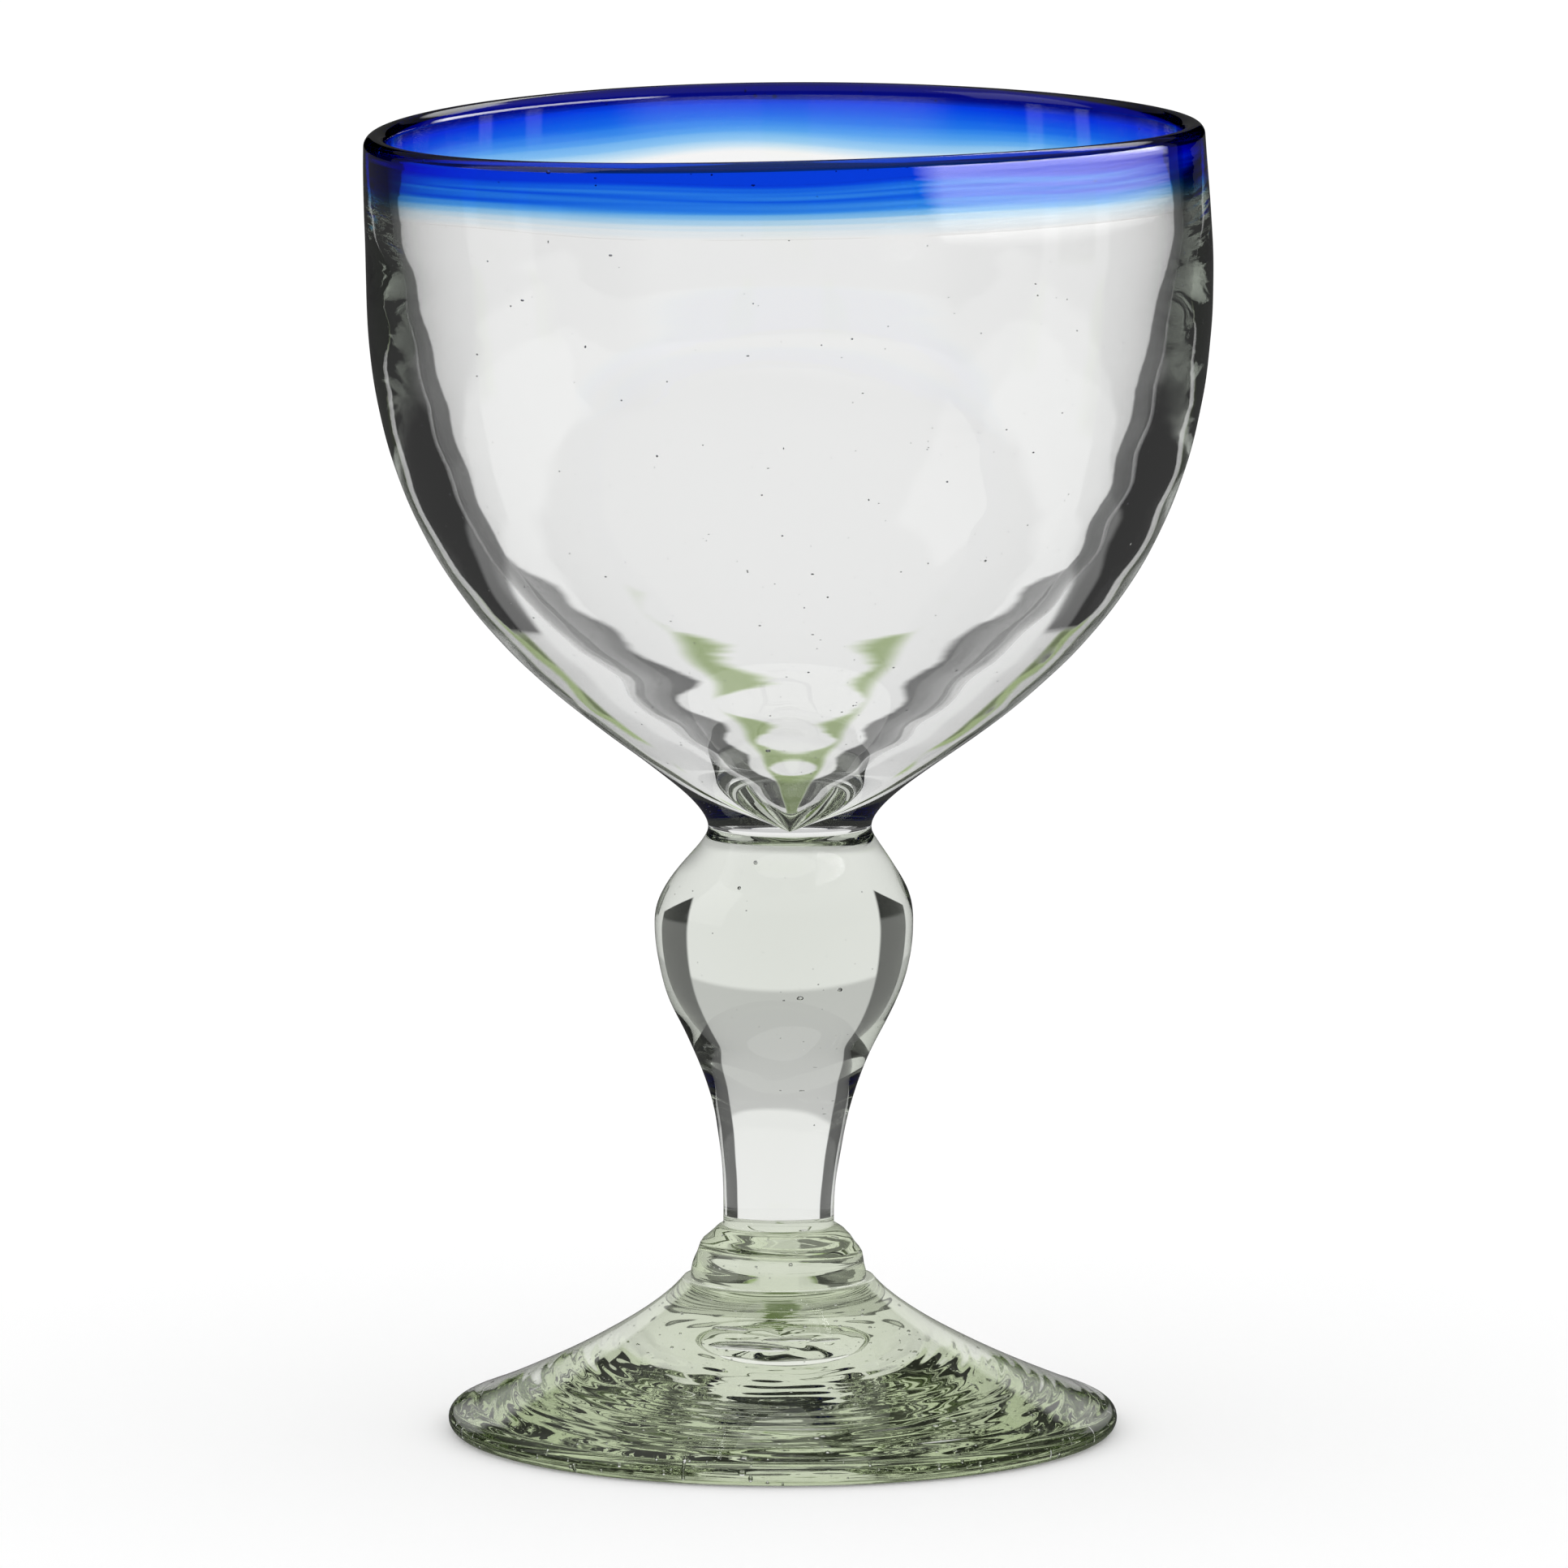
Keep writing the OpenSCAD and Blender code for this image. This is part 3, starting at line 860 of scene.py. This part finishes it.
def studio(world):
    """A white studio with flags and soft boxes that only the glass sees. The camera sees plain white. Chosen
    by ray depth as well as direction, it paints shade and refraction into the glass: its dark bands, patches
    and the foot's picture.
    """
    world.use_nodes = True
    graph = Graph(world.node_tree)
    toward = graph.node("ShaderNodeTexCoord").outputs["Generated"]
    parts = graph.node("ShaderNodeSeparateXYZ")
    graph.put(parts.inputs[0], toward)
    degrees = 180 / math.pi
    azimuth = graph.times(graph.maths("ARCTAN2", parts.outputs["X"], parts.outputs["Y"]), degrees)
    elevation = graph.times(graph.maths("ARCSINE", parts.outputs["Z"]), degrees)
    side = graph.maths("ABSOLUTE", azimuth)
    path = graph.node("ShaderNodeLightPath")
    depth = path.outputs["Ray Depth"]
    passed = path.outputs["Is Transmission Ray"]

    def patch(middle, half, low, high, soft):
        turned = graph.maths("WRAP", graph.maths("SUBTRACT", azimuth, middle), 180.0, -180.0)
        wide = graph.step(graph.maths("ABSOLUTE", turned), half + soft, half - soft)
        return graph.times(wide, graph.between(elevation, low, high, soft))

    # White paper that sweeps up behind the goblet, the greyer room over it, and the flags
    solid = graph.mix(graph.step(elevation, 6.5, 8.5), PAPER, ROOM)
    solid = graph.mix(graph.step(elevation, -32, -40), solid, ROOM)
    shade = graph.mix(graph.step(elevation, -11, -8.5), POINTED_LOW, POINTED_HIGH)
    slanting = graph.maths("MULTIPLY_ADD", elevation, FLAG_SLOPE, FLAG_START)
    pointed = graph.step(graph.maths("SUBTRACT", graph.maths("MINIMUM", slanting, FLAG_LAST), side), -1, 1)
    pointed = graph.times(pointed, graph.step(side, FLAG_FIRST - 1, FLAG_FIRST + 1))
    pointed = graph.times(pointed, graph.step(elevation, FLAG_TOP + 1, FLAG_TOP - 1))
    solid = graph.mix(pointed, solid, shade)
    for middle, half, low, high in SOLID_FLAGS:
        solid = graph.mix(patch(middle, half, low, high, 1.0), solid, FLAG)
    # The bowl passes light through two thin walls: it shows the card, and grey beside it
    folded = graph.maths("PINGPONG", azimuth, CARD_STEP / 2)
    widening = graph.times(graph.maths("ADD", elevation, 6.5), -1.2)
    widening = graph.maths("MAXIMUM", graph.maths("MINIMUM", widening, 5.0), -3.0)
    card_half = graph.maths("ADD", widening, CARD_HALF)
    beside = graph.step(graph.maths("SUBTRACT", folded, card_half), -0.5, 0.5)
    thin = graph.mix(beside, graph.mix(graph.step(elevation, -5, -1), CARD, CARD_TOP), BESIDE_CARD)
    thin = graph.mix(graph.step(elevation, -29, -32), thin, STEEP)
    # Low down, the bowl's thick bottom shows a painted picture of the green foot with the dark room at both
    # its sides
    fold = graph.maths("PINGPONG", azimuth, CARD_STEP)
    dark_low = graph.times(graph.between(elevation, -31, -18.0, 0.7), graph.between(fold, 4.5, 17, 0.75))
    thin = graph.mix(dark_low, thin, BESIDE_FOOT)
    below = graph.times(graph.step(elevation, -13.6, -14.4), graph.step(fold, 5.25, 3.75))
    thin = graph.mix(below, thin, graph.mix(graph.step(elevation, -15.5, -19), FOOT_LIGHT, FOOT_DARK))
    # Mirrored once inside a wall: the white sheet near straight behind and low down, else the dark sides
    sheet = graph.maths("MAXIMUM", graph.maths("MULTIPLY_ADD", elevation, -1.11, -10.0), 13.0)
    dark = graph.step(graph.maths("SUBTRACT", fold, sheet), -1, 1)
    dark = graph.times(dark, graph.between(elevation, -32.5, -5.5, 1.5))
    edge = graph.mix(dark, SHEET, graph.mix(graph.step(elevation, -24, -26), SIDES, SIDES_LOW))
    # There too a painted picture of the goblet's own green foot, as a dark line right behind and as a light
    # wedge low down
    outline = graph.times(graph.step(fold, 8, 6), graph.between(elevation, -14, -5, 1.5))
    edge = graph.mix(outline, edge, OUTLINE)
    wedge = graph.times(graph.between(fold, 10, 19, 1.5), graph.between(elevation, -26, -18, 1.5))
    wedge = graph.times(wedge, graph.maths("SUBTRACT", 1.0, dark))
    edge = graph.mix(wedge, edge, graph.mix(graph.step(fold, 13, 15), WEDGE_IN, WEDGE_OUT))
    # The inside of the mouth's back mirrors the bright room in front
    edge = graph.mix(graph.step(side, 125, 145), edge, FRONT)
    # Light that runs on inside a wall, and light that was mirrored there and back
    dark_top = graph.mix(graph.step(side, 105, 125), 1.5, 12.0)
    deep = graph.step(graph.maths("SUBTRACT", elevation, dark_top), 1, -1)
    deep = graph.times(deep, graph.step(elevation, -27, -23))
    deep = graph.maths("MAXIMUM", deep, graph.step(elevation, 21, 25))
    deep = graph.mix(deep, DEEP_LIGHT, DEEP_DARK)
    once = graph.maths("LESS_THAN", depth, BOWL_DEPTH + 0.5)
    edge = graph.mix(once, deep, edge)
    thin = graph.mix(graph.maths("GREATER_THAN", depth, BOWL_DEPTH + 1.5), thin, DEEP_DARK)
    # An even depth was mirrored an odd number of times
    mirrored = graph.maths("LESS_THAN", graph.maths("MODULO", depth, 2.0), 0.5)
    walls = graph.maths("GREATER_THAN", depth, SOLID_DEPTH + 0.5)
    seen = graph.mix(walls, solid, graph.mix(mirrored, thin, edge))
    # Where the studio paints the picture of the green foot
    green = graph.mix(mirrored, below, graph.maths("MAXIMUM", outline, wedge))
    green = graph.times(graph.times(green, graph.times(once, walls)), passed)
    # Gloss shows a dim room with a lighter ceiling, and soft boxes that are brightest at their tops
    gloss = graph.mix(graph.step(elevation, 25, 45), DIM_ROOM, CEILING)
    for middle, half, low, high, power, soft in SOFT_BOXES:
        rising = graph.mix(graph.step(elevation, low, high), power * 0.5, power)
        gloss = graph.mix(patch(middle, half, low, high, soft), gloss, rising)
    seen = graph.mix(passed, gloss, seen)
    seen = graph.mix(path.outputs["Is Diffuse Ray"], seen, TABLE_LIGHT)
    seen = graph.mix(path.outputs["Is Camera Ray"], seen, BACKGROUND)
    graph.fill(world.node_tree.nodes["Background"],
               {"Color": graph.blend(green, WHITE, PAINTED_FOOT_GREEN), "Strength": seen})


def shine(scene, name, pieces, first, last, low, high, power, radius):
    """A curved white card, brightest at its top, that shows only as gloss and only on some pieces."""
    corners, faces, inside = [], [], []
    last_column, last_row = CARD_COLUMNS - 1, CARD_ROWS - 1
    for i, turn in enumerate(np.radians(np.linspace(first, last, CARD_COLUMNS))):
        for j, rise in enumerate(np.radians(np.linspace(low, high, CARD_ROWS))):
            level = radius * math.cos(rise)
            corners.append((level * math.sin(turn), level * math.cos(turn), radius * math.sin(rise)))
            inside.append(float(0 < i < last_column and 0 < j < last_row))
            if i < last_column and j < last_row:
                corner = CARD_ROWS * i + j
                faces.append((corner, corner + CARD_ROWS, corner + CARD_ROWS + 1, corner + 1))
    mesh = bpy.data.meshes.new(name)
    mesh.from_pydata(corners, [], faces)
    mesh.attributes.new("fade", "FLOAT", "POINT").data.foreach_set("value", inside)
    glow = bpy.data.materials.new(name)
    glow.use_nodes = True
    graph = Graph(glow.node_tree)
    lit = graph.node("ShaderNodeEmission")
    up = graph.node("ShaderNodeSeparateXYZ")
    graph.put(up.inputs[0], graph.node("ShaderNodeTexCoord").outputs["Generated"])
    fade = graph.node("ShaderNodeAttribute", attribute_name="fade").outputs["Fac"]
    rising = graph.mix(graph.step(up.outputs["Z"], 0.0, 1.0), power * 0.5, power)
    graph.put(lit.inputs["Strength"], graph.times(rising, fade))
    graph.put(glow.node_tree.nodes["Material Output"].inputs["Surface"], lit.outputs["Emission"])
    glow.cycles.emission_sampling = "NONE"
    mesh.materials.append(glow)
    card = bpy.data.objects.new(name, mesh)
    for rays in ("camera", "diffuse", "transmission", "shadow", "volume_scatter"):
        setattr(card, "visible_" + rays, False)
    lit_pieces = bpy.data.collections.new(name)
    for piece in pieces:
        lit_pieces.objects.link(scene.objects[piece])
    card.light_linking.receiver_collection = lit_pieces
    scene.collection.objects.link(card)


# How far the table lies below the foot, and how often light may bounce in the glass
TABLE_GAP, BOUNCES = 0.05 * MM, 40


class GOBLET_OT_stage(bpy.types.Operator):
    """Sets up the camera, the white table and the studio"""

    bl_idname = "goblet.stage"
    bl_label = "Stage"

    def execute(self, context):
        scene, stage = context.scene, context.scene.goblet_stage
        camera = bpy.data.objects.new("camera", bpy.data.cameras.new("camera"))
        camera.location = (0, -stage.camera_back, stage.camera_up)
        camera.rotation_euler = (math.pi / 2 - stage.camera_dip, 0, 0)
        camera.data.lens = stage.lens
        camera.data.sensor_width = 36
        camera.data.clip_end = 100
        scene.collection.objects.link(camera)
        scene.camera = camera

        disc = bmesh.new()
        bmesh.ops.create_circle(disc, cap_ends=True, segments=96, radius=stage.table_r)
        mesh = bpy.data.meshes.new("table")
        disc.to_mesh(mesh)
        disc.free()
        table = bpy.data.objects.new("table", mesh)
        table.location.z = -TABLE_GAP
        table.visible_transmission = False
        table.visible_glossy = False
        scene.collection.objects.link(table)
        white = bpy.data.materials.new("white table")
        white.use_nodes = True
        Graph(white.node_tree).fill(white.node_tree.nodes["Principled BSDF"],
                                    {"Base Color": WHITE, "Roughness": 1.0, "Specular IOR Level": 0.0})
        table.data.materials.append(white)

        for name, card in CARDS.items():
            shine(scene, name, *card, stage.card_r)

        world = bpy.data.worlds.new("studio")
        world.cycles.sampling_method = "NONE"
        scene.world = world
        studio(world)
        scene.view_settings.view_transform = "Standard"
        cycles = scene.cycles
        cycles.max_bounces = BOUNCES
        cycles.transmission_bounces = BOUNCES
        cycles.glossy_bounces = BOUNCES
        cycles.transparent_max_bounces = BOUNCES
        cycles.use_denoising = True
        return {"FINISHED"}


PIECES = [GOBLET_OT_foot, GOBLET_OT_collar, GOBLET_OT_stem, GOBLET_OT_bowl, GOBLET_OT_lip_wrap]


class GOBLET_PT_panel(bpy.types.Panel):
    """Lists the goblet's pieces and its stage in the sidebar"""

    bl_idname = "GOBLET_PT_panel"
    bl_label = "Goblet"
    bl_space_type = "VIEW_3D"
    bl_region_type = "UI"
    bl_category = "Goblet"

    def draw(self, context):
        for maker in [*PIECES, GOBLET_OT_stage]:
            self.layout.operator(maker.bl_idname)
        for key in GROUPS:
            group = getattr(context.scene, key)
            column = self.layout.column()
            for name in group.bl_rna.properties.keys():
                if name not in ("rna_type", "name"):
                    column.prop(group, name)


CLASSES = [*GROUPS.values(), GOBLET_OT_stage, *PIECES, GOBLET_PT_panel]


def register():
    for item in CLASSES:
        bpy.utils.register_class(item)
    for key, group in GROUPS.items():
        setattr(bpy.types.Scene, key, bpy.props.PointerProperty(type=group))


def unregister():
    for key in GROUPS:
        delattr(bpy.types.Scene, key)
    for item in reversed(CLASSES):
        bpy.utils.unregister_class(item)


def main():
    register()
    bpy.ops.goblet.foot()
    bpy.ops.goblet.collar()
    bpy.ops.goblet.stem()
    bpy.ops.goblet.bowl()
    bpy.ops.goblet.lip_wrap()
    bpy.ops.goblet.stage()


if __name__ == "__main__":
    main()
